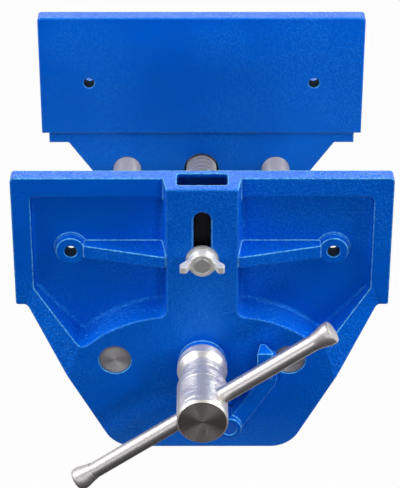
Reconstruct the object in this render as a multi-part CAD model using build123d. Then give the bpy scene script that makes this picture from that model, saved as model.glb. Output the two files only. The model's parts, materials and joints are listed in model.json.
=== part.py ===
from build123d import *
import os
from math import cos, radians, sin, sqrt, tan

# Woodworking vise that is bolted under a bench top, in millimetres.
# X runs to the right along the jaws, Y runs from the user towards the bench, Z runs up.
# The origin is the middle of the seat that is bolted against the underside of the bench.

# Jaws
jaw_width = 230.0
rear_jaw_height = 90.0
front_jaw_height = 88.0
rear_jaw_thickness = 11.0
shown_gap = 227.0
widest_gap = 330.0
jaw_corner = 2.5
jaw_foot_corner = 1.5
casting_edge = 0.8
facing_hole_spacing = 160.0
facing_hole_drop = 50.0
facing_hole_diameter = 7.0
facing_hole_chamfer = 0.6

# Bench seat
seat_inset = 5.0
seat_depth = 140.0
seat_thickness = 8.0
seat_set_back = 1.5
seat_corner = 8.0
bench_bolt_hole = 11.0
bench_bolt_side_inset = 18.0
bench_bolt_front_inset = 20.0
bench_bolt_rear_inset = 12.0

# Guide rods, screw and release bar, as seen from the front
rod_diameter = 20.0
rod_spacing = 108.0
rod_drop = 30.0
screw_diameter = 22.0
bar_side = 8.0
bar_offset_x = 17.0
bar_drop = 71.0
running_clearance = 0.08
free_clearance = 0.3

# Housing of the rear jaw
housing_depth = 125.0
wall_thickness = 12.0
wall_side_inset = 14.0
wall_half_bottom = 41.0
wall_under_bar = 14.0
wall_corner = 12.0
rod_tube_wall = 8.0
side_wall_thickness = 8.0
gusset_reach = 22.0
gusset_drop = 24.0
gusset_thickness = 7.0
web_thickness = 10.0
web_overlap = 5.0
screw_passage_gap = 1.5

# Half nut
nut_length = 40.0
nut_end_gap = 0.5
nut_wall = 9.2
nut_middle_angle = 225.0
nut_half_angle = 62.0
nut_knee_angle = 248.0
nut_knee_radius = 7.0
nut_journal_wall = 1.4
nut_journal_inset = 1.0
nut_hub_wall = 3.5

# Front jaw casting, depths measured forward of the clamping face
floor_depth = 5.0
rim_depth = 10.0
front_depth = 24.0
side_rim = 12.2
top_rim = 13.2
column_half_width = 24.2
recess_draft = 8.0
recess_corner = 3.0
recess_floor_fillet = 2.5

# Feet of the recesses, measured from the jaw's bottom edge and the recess's side
recess_side_rise = 12.1
foot_inward = 28.6
foot_drop = 20.9
arch_lean = 2.8
arch_drop = 5.7
arch_end_rise = 1.6

# Ramps from the rims down to the apron
ramp_length = 37.8
ramp_turn = 16.4
ramp_outward = 1.9
ramp_rise = 1.2

# Screw bosses and ribs in the recesses
facing_boss_diameter = 18.0
facing_boss_over_rim = 0.6
facing_boss_foot = 1.2
rib_width = 9.5
rib_over_rim = 1.5
rib_draft = 3.0

# Apron of the front jaw and the hollow behind it
apron_side_inset = 7.0
apron_foot_over_rod = 1.2
apron_under_bar = 25.0
apron_corner = 20.0
apron_neck_corner = 4.0
apron_wall = 9.0
cavity_below_foot = 17.1
cavity_below_arch = 13.3
cavity_top_bend = 10.0
cavity_side_bend = 6.0
rod_boss_wall = 7.0
screw_boss_wall = 10.0
screw_boss_length = 15.0
screw_nose_wall = 4.0
screw_nose_length = 4.5
bar_boss_wall = 5.5
bar_boss_length = 17.0
stiffener_thickness = 7.0
stiffener_overlap = 2.0

# Bench dog and its clamp
dog_width = 30.0
dog_thickness = 14.4
dog_length = 68.0
dog_drop = 10.0
dog_travel = 26.0
dog_clearance = 0.25
dog_chamfer = 1.5
pocket_back_wall = 3.5
pocket_corner = 2.0
pocket_floor_gap = 4.0
slot_clearance = 0.25
slot_overrun = 1.0
slot_edge = 0.7
stud_diameter = 10.0
stud_below_dog_top = 38.0
stud_cover = 2.0
stud_chamfer = 0.6
washer_reach = 5.0
washer_thickness = 2.0
wing_nut_base_wall = 4.0
wing_nut_top_wall = 2.4
wing_nut_foot = 1.5
wing_nut_height = 5.5
wing_span = 27.0
wing_thickness = 4.4
wing_rise = 5.5
wing_tip = 4.2

# Screw with its washer and collar in the front jaw
journal_step = 1.0
relief_depth = 1.5
relief_length = 8.0
thrust_washer_reach = 4.5
thrust_washer_thickness = 2.0
collar_reach = 6.0
collar_length = 7.5
pin_diameter = 4.0
pin_inset = 0.5

# Screw head
head_radius = 15.4
head_ring_length = 6.5
head_ring_chamfer = 4.0
neck_radius = 12.9
neck_length = 8.0
neck_flare = 7.0
head_groove_ahead = 6.0
head_groove_depth = 0.3
head_over_handle = 15.5
head_chamfer = 1.0
head_edge = 0.8
head_bore_depth = 26.0
spigot_step = 2.0

# Tommy bar
handle_diameter = 10.0
handle_length = 188.0
handle_depth = 75.5
handle_angle = 35.2
cap_length = 13.0
cap_radius = 7.1
cap_edge_radius = 6.5
cap_shoulder = 0.3
cap_crown = 0.9
cap_swell_end = 0.76
cap_bore_depth = 9.0
handle_tenon_diameter = 7.0

# Release lever, measured from the bar's axis and forward of the casting
lever_gap = 2.0
lever_arm_back = 2.0
lever_arm_thickness = 8.0
lever_boss_wall = 3.0
lever_boss_length = 14.0
lever_arm_width = 10.5
lever_start = (3.0, -0.3)
lever_elbow = (24.2, 33.5)
lever_tip = (24.0, 46.0)
lever_bend = 9.0
tab_height = 19.0
tab_over_tip = 9.0
tab_length = 11.0
tab_rear_width = 3.3
tab_front_width = 9.7
tab_bevel = 1.2
tab_inset = 3.7
tab_skew = 1.2
bar_journal_step = 0.5
bar_end_set_back = 0.5

# Tie plate behind the housing
tie_plate_thickness = 8.0
tie_plate_gap = 3.0
tie_ring = 5.0
tie_bar_ring = 9.5
rod_stud_diameter = 14.0
rod_end_set_back = 0.4
rod_end_chamfer = 0.8
lock_pin_depth = 7.0
lock_pin_past_axis = 4.0
nut_flats = 22.0
nut_height = 11.0
nut_bevel = 1.2
nut_bevel_reach = 2.0
tie_washer_reach = 7.0
tie_washer_thickness = 2.5
stud_overhang = 3.0
end_chamfer = 1.0
tail_diameter = 14.0
bush_wall = 3.0
bush_flange_reach = 3.0
bush_flange = 2.0
thread_end_gap = 1.5
thread_end_chamfer = 2.0
end_collar_gap = 0.5
end_collar_reach = 5.0
end_collar_length = 9.0
tail_overhang = 3.0

# Rear end of the release bar
bar_tail_step = 0.5
bar_shoulder_gap = 1.0
clip_gap = 0.3
clip_reach = 3.5
clip_thickness = 1.2
clip_mouth_inset = 1.0
bar_tail_overhang = 4.0

# Return spring of the release lever
spring_reach = 3.7
spring_wire = 1.4
spring_wire_sides = 6
spring_turns = 2.5
spring_pitch = 1.7
spring_gap = 0.4
spring_space = 6.0

# How far a cut runs past the face that it opens into
overrun = 5.0

# Places along Y that follow from the sizes above
bench_edge_y = -seat_depth / 2
rear_face_y = bench_edge_y - rear_jaw_thickness
front_face_y = rear_face_y - shown_gap
wall_front_y = rear_face_y + seat_set_back
wall_back_y = wall_front_y + wall_thickness
housing_back_y = wall_front_y + housing_depth
nut_front_y = wall_back_y + nut_end_gap
nut_back_y = nut_front_y + nut_length
web_front_y = nut_back_y + nut_end_gap
tie_front_y = housing_back_y + (widest_gap - shown_gap) + tie_plate_gap
tie_back_y = tie_front_y + tie_plate_thickness
bench_bolt_front_y = bench_edge_y + bench_bolt_front_inset
bench_bolt_rear_y = seat_depth / 2 - bench_bolt_rear_inset

# Widths, heights and radii that follow
seat_half_width = jaw_width / 2 - seat_inset
wall_half_top = seat_half_width - wall_side_inset
wall_bottom_z = -bar_drop - wall_under_bar
jaw_bottom = rear_jaw_height - front_jaw_height
facing_hole_z = rear_jaw_height - facing_hole_drop
rod_x = rod_spacing / 2
rod_tube_radius = rod_diameter / 2 + rod_tube_wall
rod_boss_radius = rod_diameter / 2 + rod_boss_wall
tube_side_x = rod_x + rod_tube_radius
apron_half_top = jaw_width / 2 - apron_side_inset
apron_half_bottom = rod_x + apron_foot_over_rod
apron_bottom_z = -bar_drop - apron_under_bar
cavity_depth = front_depth - apron_wall
recess_side_x = jaw_width / 2 - side_rim
recess_top_z = rear_jaw_height - top_rim
recess_side_z = jaw_bottom + recess_side_rise
journal_radius = screw_diameter / 2 - journal_step
screw_boss_depth = front_depth - screw_boss_length
bar_boss_depth = front_depth - bar_boss_length
screw_nose_depth = front_depth + screw_nose_length
head_back_depth = screw_nose_depth + thrust_washer_thickness
bar_journal_radius = bar_side / 2 + bar_journal_step
bar_tail_radius = bar_side / 2 - bar_tail_step
nut_bore_radius = screw_diameter / 2 + free_clearance
nut_journal_radius = (bar_side / 2 + free_clearance) * sqrt(2) + nut_journal_wall
lever_back_depth = front_depth + lever_gap
lever_boss_depth = lever_back_depth + lever_boss_length
stud_z = rear_jaw_height - dog_drop - stud_below_dog_top
tie_washer_radius = rod_stud_diameter / 2 + tie_washer_reach


def seen_from_front(y):
    """A drawing plane at depth y, with x to the right and z up."""
    return Plane(origin=(0, y, 0), x_dir=(1, 0, 0), z_dir=(0, -1, 0))


def seen_from_above(z):
    """A drawing plane at height z, with x to the right and y towards the bench."""
    return Plane(origin=(0, 0, z), x_dir=(1, 0, 0), z_dir=(0, 0, 1))


def ahead(depth):
    """The y of a plane that lies this far in front of the front jaw's clamping face."""
    return front_face_y - depth


def slab(outline, front_y, back_y, draft=0):
    """An outline drawn from the front, given a thickness from back_y to front_y."""
    return extrude(seen_from_front(back_y) * outline, amount=back_y - front_y, taper=draft)


def shaft(x, z, radius, front_y, back_y):
    """A round bar along Y."""
    return slab(Pos(x, z) * Circle(radius), front_y, back_y)


def ring(x, z, outer, inner, front_y, back_y):
    return shaft(x, z, outer, front_y, back_y) - shaft(x, z, inner, front_y - overrun, back_y + overrun)


def turned(profile, x, z):
    """A turned piece about an axis along Y, from points of (y, radius)."""
    half = make_face(Polyline(*[(radius, y) for y, radius in profile], close=True))
    axis_plane = Plane(origin=(x, 0, z), x_dir=(1, 0, 0), z_dir=(0, 0, 1))
    return revolve(axis_plane * half, axis=Axis((x, 0, z), (0, 1, 0)))


def cross_pin(x, y, z, length):
    """A straight pin across the vise, along X."""
    return Pos(x, y, z) * Rotation(0, 90, 0) * Cylinder(pin_diameter / 2, length)


def block(x_range, y_range, z_range):
    """A box between two values on each axis."""
    sizes = [high - low for low, high in (x_range, y_range, z_range)]
    middles = [(high + low) / 2 for low, high in (x_range, y_range, z_range)]
    return Pos(*middles) * Box(*sizes)


def both_sides(solid):
    """A solid and its mirror image in the middle plane."""
    return [solid, mirror(solid, about=Plane.YZ)]


def edges_at(solid, y):
    """The edges of a solid whose middle lies in the plane at depth y."""
    near = 0.01
    return solid.edges().filter_by_position(Axis.Y, y - near, y + near)


def rounded_polygon(corners, radii):
    """A polygon whose corners are rounded by the radii given, 0 for a sharp one."""
    face = make_face(Polyline(*corners, close=True))
    for corner, radius in zip(corners, radii):
        if radius > 0:
            nearest = face.vertices().sort_by_distance((corner[0], corner[1], 0))[0]
            face = fillet(nearest, radius)
    return face


def facing_holes(front_y, back_y):
    """The two holes for the screws of a wooden jaw facing, chamfered at the front."""
    radius = facing_hole_diameter / 2
    profile = [
        (front_y - overrun, 0),
        (front_y - overrun, radius + facing_hole_chamfer),
        (front_y, radius + facing_hole_chamfer),
        (front_y + facing_hole_chamfer, radius),
        (back_y, radius),
        (back_y, 0),
    ]
    return both_sides(turned(profile, -facing_hole_spacing / 2, facing_hole_z))


def wall_outline():
    """The trapezoid of the housing's end walls."""
    corners = [
        (-wall_half_top, 0),
        (wall_half_top, 0),
        (wall_half_top, -seat_thickness),
        (wall_half_bottom, wall_bottom_z),
        (-wall_half_bottom, wall_bottom_z),
        (-wall_half_top, -seat_thickness),
    ]
    return rounded_polygon(corners, [0, 0, 0, wall_corner, wall_corner, 0])


def web_outline():
    """The wall between the rod tubes that carries the rear end of the half nut."""
    top_half = rod_x - rod_tube_radius + web_overlap
    corners = [
        (-top_half, 0),
        (top_half, 0),
        (top_half, -rod_drop),
        (wall_half_bottom - web_overlap, wall_bottom_z),
        (-wall_half_bottom + web_overlap, wall_bottom_z),
        (-top_half, -rod_drop),
    ]
    return rounded_polygon(corners, [0, 0, 0, wall_corner, wall_corner, 0])


def rear_plate():
    outline = Pos(0, rear_jaw_height / 2) * Rectangle(jaw_width, rear_jaw_height)
    outline = fillet(outline.vertices().group_by(Axis.Y)[-1], jaw_corner)
    plate = slab(outline, rear_face_y, bench_edge_y)
    return fillet(edges_at(plate, rear_face_y), casting_edge)


def bench_seat():
    seat = block(
        (-seat_half_width, seat_half_width), (wall_front_y, seat_depth / 2), (-seat_thickness, 0)
    )
    seat = fillet(seat.edges().filter_by(Axis.Z).group_by(Axis.Y)[-1], seat_corner)
    for x in (-seat_half_width + bench_bolt_side_inset, seat_half_width - bench_bolt_side_inset):
        for y in (bench_bolt_front_y, bench_bolt_rear_y):
            seat -= Pos(x, y, -seat_thickness / 2) * Cylinder(bench_bolt_hole / 2, seat_thickness + overrun)
    return seat


def housing_side():
    """Left half of the housing: a rod tube hung from the seat by a side wall with a gusset."""
    side_wall = block(
        (-tube_side_x, -tube_side_x + side_wall_thickness), (wall_front_y, housing_back_y), (-rod_drop, 0)
    )
    tube = shaft(-rod_x, -rod_drop, rod_tube_radius, wall_front_y, housing_back_y)
    root = side_wall_thickness / 2 - tube_side_x
    gusset = make_face(
        Polyline(
            (root, -seat_thickness / 2),
            (-tube_side_x - gusset_reach, -seat_thickness / 2),
            (-tube_side_x - gusset_reach, -seat_thickness),
            (-tube_side_x, -seat_thickness - gusset_drop),
            (root, -seat_thickness - gusset_drop),
            close=True,
        )
    )
    middle_y = (bench_bolt_front_y + bench_bolt_rear_y) / 2
    return [
        side_wall,
        tube,
        slab(gusset, middle_y - gusset_thickness / 2, middle_y + gusset_thickness / 2),
    ]


def rear_jaw_casting():
    front_wall = slab(wall_outline(), wall_front_y, wall_back_y)
    rear_wall = slab(wall_outline(), housing_back_y - wall_thickness, housing_back_y)
    casting = rear_plate() + bench_seat() + front_wall + rear_wall
    casting += slab(web_outline(), web_front_y, web_front_y + web_thickness)
    for piece in housing_side():
        for side in both_sides(piece):
            casting += side

    front = wall_front_y - overrun
    back = housing_back_y + overrun
    for side in (-1, 1):
        casting -= shaft(side * rod_x, -rod_drop, rod_diameter / 2 + running_clearance, front, back)
    casting -= shaft(0, -rod_drop, screw_diameter / 2 + screw_passage_gap, front, back)
    casting -= shaft(bar_offset_x, -bar_drop, nut_journal_radius + running_clearance, front, back)
    for hole in facing_holes(rear_face_y, bench_edge_y + overrun):
        casting -= hole
    return casting


def jaw_outline():
    """The front jaw seen from the front: the jaw above, the narrowing apron below."""
    half = jaw_width / 2
    corners = [
        (-half, rear_jaw_height),
        (half, rear_jaw_height),
        (half, jaw_bottom),
        (apron_half_top, jaw_bottom),
        (apron_half_bottom, apron_bottom_z),
        (-apron_half_bottom, apron_bottom_z),
        (-apron_half_top, jaw_bottom),
        (-half, jaw_bottom),
    ]
    radii = [
        jaw_corner,
        jaw_corner,
        jaw_foot_corner,
        apron_neck_corner,
        apron_corner,
        apron_corner,
        apron_neck_corner,
        jaw_foot_corner,
    ]
    return rounded_polygon(corners, radii)


def recess_feet():
    """The left recess's foot, the middle of its arch and the arch's end at the column."""
    foot = (-recess_side_x + foot_inward, jaw_bottom - foot_drop)
    arch_end = (-column_half_width, jaw_bottom + arch_end_rise)
    arch_middle = ((foot[0] + arch_end[0]) / 2 - arch_lean, jaw_bottom - arch_drop)
    return foot, arch_middle, arch_end


def recess_outline():
    """The left recess at its floor: straight sides, a slanting foot and an arched foot."""
    foot, arch_middle, arch_end = recess_feet()
    sides = Polyline(
        foot,
        (-recess_side_x, recess_side_z),
        (-recess_side_x, recess_top_z),
        (-column_half_width, recess_top_z),
        arch_end,
    )
    face = make_face(sides + ThreePointArc(arch_end, arch_middle, foot))
    return fillet(face.vertices(), recess_corner)


def recess_tool():
    """The left recess, drafted and with a rounded floor edge."""
    tool = slab(recess_outline(), ahead(front_depth + overrun), ahead(floor_depth), -recess_draft)
    return fillet(edges_at(tool, ahead(floor_depth)), recess_floor_fillet)


def rim_tool():
    """What lies ahead of the left rim, beside and above the recess."""
    right = -column_half_width + (rim_depth - floor_depth) * tan(radians(recess_draft))
    left = -jaw_width / 2 - overrun
    bottom = (jaw_bottom + rear_jaw_height) / 2
    top = rear_jaw_height + front_jaw_height
    outline = Pos((left + right) / 2, (top + bottom) / 2) * Rectangle(right - left, top - bottom)
    return slab(outline, ahead(front_depth + overrun), ahead(rim_depth), -recess_draft)


def ramp_tool():
    """The left ramp, from the rim's level to the apron's, drawn across its line of slope."""
    across = (cos(radians(ramp_turn)), 0, -sin(radians(ramp_turn)))
    along = (-sin(radians(ramp_turn)), 0, -cos(radians(ramp_turn)))
    start = (-recess_side_x - ramp_outward, ahead(rim_depth), recess_side_z + ramp_rise)
    rise = front_depth - rim_depth
    past = 1.0 + overrun / rise
    section = make_face(
        Polyline(
            (-jaw_width / 2, 0),
            (0, 0),
            (ramp_length * past, rise * past),
            (-jaw_width / 2, rise * past),
            close=True,
        )
    )
    return extrude(Plane(origin=start, x_dir=across, z_dir=along) * section, amount=jaw_width / 2, both=True)


def facing_boss():
    """The boss round the left facing hole."""
    radius = facing_boss_diameter / 2
    profile = [
        (ahead(floor_depth - facing_boss_foot), 0),
        (ahead(floor_depth - facing_boss_foot), radius + facing_boss_foot),
        (ahead(floor_depth), radius + facing_boss_foot),
        (ahead(floor_depth + facing_boss_foot), radius + facing_boss_foot / 4),
        (ahead(rim_depth + facing_boss_over_rim), radius),
        (ahead(rim_depth + facing_boss_over_rim), 0),
    ]
    return turned(profile, -facing_hole_spacing / 2, facing_hole_z)


def facing_rib():
    """The left rib, which climbs from the boss to the front of the column."""
    start = (-facing_hole_spacing + facing_boss_diameter) / 2 - facing_boss_foot
    reach = -column_half_width - start
    climb = (front_depth - rim_depth - rib_over_rim) / reach
    end = -column_half_width + 2 * facing_boss_foot
    side_view = make_face(
        Polyline(
            (start, ahead(floor_depth - facing_boss_foot)),
            (start, ahead(rim_depth + rib_over_rim)),
            (-column_half_width, ahead(front_depth)),
            (end, ahead(front_depth)),
            (end, ahead(floor_depth - facing_boss_foot)),
            close=True,
        )
    )
    rib = extrude(seen_from_above(facing_hole_z) * side_view, amount=rib_width, both=True)
    footprint = Pos((start + end) / 2, facing_hole_z) * Rectangle(end - start + 2 * overrun, rib_width)
    return rib & slab(footprint, ahead(front_depth + overrun), ahead(floor_depth - facing_boss_foot), rib_draft)


def apron_half_width(z):
    """Half the apron's width at height z, on its straight sides."""
    share = (jaw_bottom - z) / (jaw_bottom - apron_bottom_z)
    return apron_half_top + share * (apron_half_bottom - apron_half_top)


def cavity_outline():
    """The hollow behind the apron, an even wall inside its sides and below the arches."""
    foot, arch_middle, arch_end = recess_feet()
    side_z = foot[1] - cavity_below_foot
    floor_z = apron_bottom_z + apron_wall
    right_half = [
        (-arch_end[0] - 2 * facing_boss_foot, arch_end[1] - cavity_below_arch + 2 * facing_boss_foot),
        (-arch_middle[0], arch_middle[1] - cavity_below_arch),
        (apron_half_width(side_z) - apron_wall, side_z),
        (apron_half_width(floor_z) - apron_wall, floor_z),
    ]
    left_half = [(-x, z) for x, z in reversed(right_half)]
    bends = [cavity_top_bend, cavity_top_bend, cavity_side_bend, apron_corner - cavity_side_bend]
    return rounded_polygon(right_half + left_half, bends + bends[::-1])


def front_jaw_body():
    """The jaw and the apron with their recesses, rims and ramps, rounded where they end in front."""
    body = slab(jaw_outline(), ahead(front_depth), front_face_y)
    for tool in (recess_tool(), rim_tool(), ramp_tool()):
        for side in both_sides(tool):
            body -= side
    return fillet(edges_at(body, ahead(front_depth)), casting_edge)


def front_jaw_bosses():
    """What stands in the hollow behind the apron and ahead of it: the bosses and their stiffeners."""
    pieces = []
    for side in (-1, 1):
        pieces.append(shaft(side * rod_x, -rod_drop, rod_boss_radius, ahead(front_depth), front_face_y))
    screw_boss_radius = journal_radius + screw_boss_wall
    pieces.append(shaft(0, -rod_drop, screw_boss_radius, ahead(front_depth), ahead(screw_boss_depth)))
    nose_radius = journal_radius + screw_nose_wall
    pieces.append(shaft(0, -rod_drop, nose_radius, ahead(screw_nose_depth), ahead(front_depth)))
    bar_boss_radius = bar_journal_radius + bar_boss_wall
    pieces.append(shaft(bar_offset_x, -bar_drop, bar_boss_radius, ahead(front_depth), ahead(bar_boss_depth)))
    stiffener = block(
        (-rod_x + rod_boss_radius - stiffener_overlap, -screw_boss_radius + stiffener_overlap),
        (ahead(cavity_depth + stiffener_overlap), ahead(screw_boss_depth)),
        (-rod_drop - stiffener_thickness / 2, -rod_drop + stiffener_thickness / 2),
    )
    return pieces + both_sides(stiffener)


def dog_pocket():
    half_width = dog_width / 2 + dog_clearance
    floor_z = rear_jaw_height - dog_drop - dog_length - pocket_floor_gap
    pocket = block(
        (-half_width, half_width),
        (ahead(pocket_front_depth()), ahead(pocket_back_wall)),
        (floor_z, rear_jaw_height + overrun),
    )
    return fillet(pocket.edges().filter_by(Axis.Z), pocket_corner)


def pocket_front_depth():
    return pocket_back_wall + dog_thickness + 2 * dog_clearance


def stud_slot():
    """The slot that the dog's stud rides in, round at both ends, its front edge rounded."""
    half_width = stud_diameter / 2 + slot_clearance
    low = stud_z - half_width - slot_overrun
    high = stud_z + dog_travel + half_width + slot_overrun
    outline = Pos(0, (low + high) / 2) * SlotOverall(high - low, 2 * half_width, rotation=90)
    slot = slab(outline, ahead(front_depth), ahead(pocket_front_depth() - overrun / 2))
    lip = slab(outline, ahead(front_depth), ahead(front_depth) + slot_edge, -45)
    return [slot, lip]


def front_jaw_casting():
    casting = front_jaw_body()
    for piece in (facing_boss(), facing_rib()):
        for side in both_sides(piece):
            casting += side
    casting -= slab(cavity_outline(), ahead(cavity_depth), ahead(-overrun))
    for boss in front_jaw_bosses():
        casting += boss

    front = ahead(screw_nose_depth + overrun)
    back = ahead(-overrun)
    for side in (-1, 1):
        casting -= shaft(side * rod_x, -rod_drop, rod_diameter / 2, front, back)
        casting -= lock_pin(side)
    casting -= shaft(0, -rod_drop, journal_radius + running_clearance, front, back)
    collar_room = journal_radius + collar_reach + free_clearance
    casting -= shaft(0, -rod_drop, collar_room, ahead(screw_boss_depth), back)
    casting -= shaft(bar_offset_x, -bar_drop, bar_journal_radius + running_clearance, front, back)
    for hole in facing_holes(ahead(rim_depth + facing_boss_over_rim), back):
        casting -= hole
    casting -= dog_pocket()
    for tool in stud_slot():
        casting -= tool
    return casting


def slide_rod(side):
    """A guide rod: plain from its boss in the front jaw to a shoulder at the tie plate."""
    radius = rod_diameter / 2
    stud_radius = rod_stud_diameter / 2
    front_end = ahead(front_depth - rod_end_set_back)
    stud_end = tie_back_y + tie_washer_thickness + nut_height + stud_overhang
    profile = [
        (front_end, 0),
        (front_end, radius - rod_end_chamfer),
        (front_end + rod_end_chamfer, radius),
        (tie_front_y, radius),
        (tie_front_y, stud_radius),
        (stud_end - end_chamfer, stud_radius),
        (stud_end, stud_radius - end_chamfer),
        (stud_end, 0),
    ]
    return turned(profile, side * rod_x, -rod_drop) - lock_pin(side)


def lock_pin(side):
    """The pin that holds a rod in its boss, driven up from below."""
    low = -rod_drop - rod_boss_radius
    high = -rod_drop + lock_pin_past_axis
    return Pos(side * rod_x, ahead(lock_pin_depth), (low + high) / 2) * Cylinder(pin_diameter / 2, high - low)


def tie_plate():
    circles = [
        Pos(-rod_x, -rod_drop) * Circle(tie_washer_radius + tie_ring),
        Pos(rod_x, -rod_drop) * Circle(tie_washer_radius + tie_ring),
        Pos(bar_offset_x, -bar_drop) * Circle(bar_tail_radius + tie_bar_ring),
    ]
    plate = slab(make_hull([edge for circle in circles for edge in circle.edges()]), tie_front_y, tie_back_y)
    front = tie_front_y - overrun
    back = tie_back_y + overrun
    for side in (-1, 1):
        plate -= shaft(side * rod_x, -rod_drop, rod_stud_diameter / 2, front, back)
    plate -= shaft(0, -rod_drop, tail_diameter / 2 + bush_wall, front, back)
    plate -= shaft(bar_offset_x, -bar_drop, bar_tail_radius + running_clearance, front, back)
    return plate


def tie_plate_washers():
    back = tie_back_y + tie_washer_thickness
    washer = ring(-rod_x, -rod_drop, tie_washer_radius, rod_stud_diameter / 2, tie_back_y, back)
    return both_sides(washer)


def tie_plate_nuts():
    """Hexagon nuts, their rear corners bevelled."""
    front = tie_back_y + tie_washer_thickness
    back = front + nut_height
    corner_radius = nut_flats / 2 / cos(radians(30))
    blank = turned(
        [
            (front, 0),
            (front, corner_radius),
            (back - nut_bevel, corner_radius),
            (back, corner_radius - nut_bevel_reach),
            (back, 0),
        ],
        -rod_x,
        -rod_drop,
    )
    hexagon = Pos(-rod_x, -rod_drop) * RegularPolygon(nut_flats / 2, 6, major_radius=False)
    nut = slab(hexagon, front, back) & blank
    nut -= shaft(-rod_x, -rod_drop, rod_stud_diameter / 2, front - overrun, back + overrun)
    return both_sides(nut)


def screw_bush():
    """The plain bush that carries the tail of the screw in the tie plate."""
    outer = tail_diameter / 2 + bush_wall
    bush = shaft(0, -rod_drop, outer, tie_front_y, tie_back_y)
    bush += shaft(0, -rod_drop, outer + bush_flange_reach, tie_front_y - bush_flange, tie_front_y)
    bore = tail_diameter / 2 + running_clearance
    return bush - shaft(0, -rod_drop, bore, tie_front_y - overrun, tie_back_y + overrun)


def main_screw():
    """The screw: a spigot in the head, a journal in the front jaw, the thread and a tail."""
    head_back = ahead(head_back_depth)
    spigot_radius = journal_radius - spigot_step
    thread_radius = screw_diameter / 2
    root_radius = thread_radius - relief_depth
    relief_end = front_face_y + relief_length
    thread_end = tie_front_y - bush_flange - thread_end_gap
    tail_radius = tail_diameter / 2
    tail_end = tie_back_y + end_collar_gap + end_collar_length + tail_overhang
    profile = [
        (head_back - head_bore_depth, 0),
        (head_back - head_bore_depth, spigot_radius),
        (head_back, spigot_radius),
        (head_back, journal_radius),
        (front_face_y, journal_radius),
        (front_face_y + journal_step, root_radius),
        (relief_end, root_radius),
        (relief_end + relief_depth, thread_radius),
        (thread_end - thread_end_chamfer, thread_radius),
        (thread_end, thread_radius - thread_end_chamfer),
        (thread_end, tail_radius),
        (tail_end - end_chamfer, tail_radius),
        (tail_end, tail_radius - end_chamfer),
        (tail_end, 0),
    ]
    return turned(profile, 0, -rod_drop) - collar_pin() - end_pin() - head_pin()


def thrust_washer():
    bore = journal_radius + running_clearance
    return ring(
        0, -rod_drop, journal_radius + thrust_washer_reach, bore, ahead(head_back_depth), ahead(screw_nose_depth)
    )


def retaining_collar():
    """The collar behind the jaw that makes the screw pull the jaw along."""
    front = ahead(screw_boss_depth) + free_clearance
    collar = ring(0, -rod_drop, journal_radius + collar_reach, journal_radius, front, front + collar_length)
    return collar - collar_pin()


def collar_pin():
    middle = ahead(screw_boss_depth) + free_clearance + collar_length / 2
    return cross_pin(0, middle, -rod_drop, 2 * (journal_radius + collar_reach - pin_inset))


def end_collar():
    front = tie_back_y + end_collar_gap
    tail_radius = tail_diameter / 2
    collar = ring(
        0, -rod_drop, tail_radius + end_collar_reach, tail_radius, front, front + end_collar_length
    )
    return collar - end_pin()


def end_pin():
    middle = tie_back_y + end_collar_gap + end_collar_length / 2
    return cross_pin(0, middle, -rod_drop, 2 * (tail_diameter / 2 + end_collar_reach - pin_inset))


def screw_head():
    """The turned head: a ring, a waist and a barrel with the handle's cross hole."""
    back = ahead(head_back_depth)
    end = ahead(handle_depth + head_over_handle)
    ring_front = back - head_ring_length
    waist_back = ring_front - head_ring_chamfer
    waist_front = waist_back - neck_length
    barrel_back = waist_front - neck_flare
    groove = barrel_back - head_groove_ahead
    profile = [
        (back, 0),
        (back, head_radius - head_edge),
        (back - head_edge, head_radius),
        (ring_front, head_radius),
        (waist_back, neck_radius),
        (waist_front, neck_radius),
        (barrel_back, head_radius),
        (groove + head_groove_depth, head_radius),
        (groove, head_radius - head_groove_depth),
        (groove - head_groove_depth, head_radius),
        (end + head_chamfer, head_radius),
        (end, head_radius - head_chamfer),
        (end, 0),
    ]
    head = turned(profile, 0, -rod_drop)
    head -= shaft(0, -rod_drop, journal_radius - spigot_step, back - head_bore_depth, back + overrun)
    head -= along_handle(Cylinder(handle_diameter / 2 + running_clearance, 4 * head_radius))
    return head - head_pin()


def head_pin():
    """The pin that fixes the head on the screw's spigot, across the waist."""
    waist_back = ahead(head_back_depth) - head_ring_length - head_ring_chamfer
    return cross_pin(0, waist_back - neck_length / 2, -rod_drop, 2 * (neck_radius - pin_inset))


def along_handle(solid):
    """Places a solid drawn about the Z axis onto the handle's axis, its +Z end to the upper right."""
    return Pos(0, ahead(handle_depth), -rod_drop) * Rotation(0, 90 - handle_angle, 0) * solid


def handle_bar():
    plain = handle_length - 2 * cap_length
    bar = Cylinder(handle_diameter / 2, plain)
    tenons = Cylinder(handle_tenon_diameter / 2, plain + 2 * cap_bore_depth)
    return along_handle(bar + tenons)


def handle_cap(end):
    """An end cap that swells from the bar to a low crown. end is 1 upper right, -1 lower left."""
    inner = handle_length / 2 - cap_length
    outer = handle_length / 2
    start = (handle_diameter / 2 + cap_shoulder, inner)
    fullest = (cap_radius, inner + cap_swell_end * cap_length)
    edge = (cap_edge_radius, outer - cap_crown)
    side = Spline(start, fullest, edge, tangents=[(0.1, 1), (-1, 1)])
    crown = RadiusArc(edge, (0, outer), -(cap_edge_radius**2 + cap_crown**2) / (2 * cap_crown))
    outline = side + crown + Line((0, outer), (0, inner)) + Line((0, inner), start)
    cap = revolve(Plane.XZ * make_face(outline), axis=Axis.Z)
    cap -= Pos(0, 0, inner + cap_bore_depth / 2) * Cylinder(handle_tenon_diameter / 2, cap_bore_depth)
    if end < 0:
        cap = Rotation(0, 180, 0) * cap
    return along_handle(cap)


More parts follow.
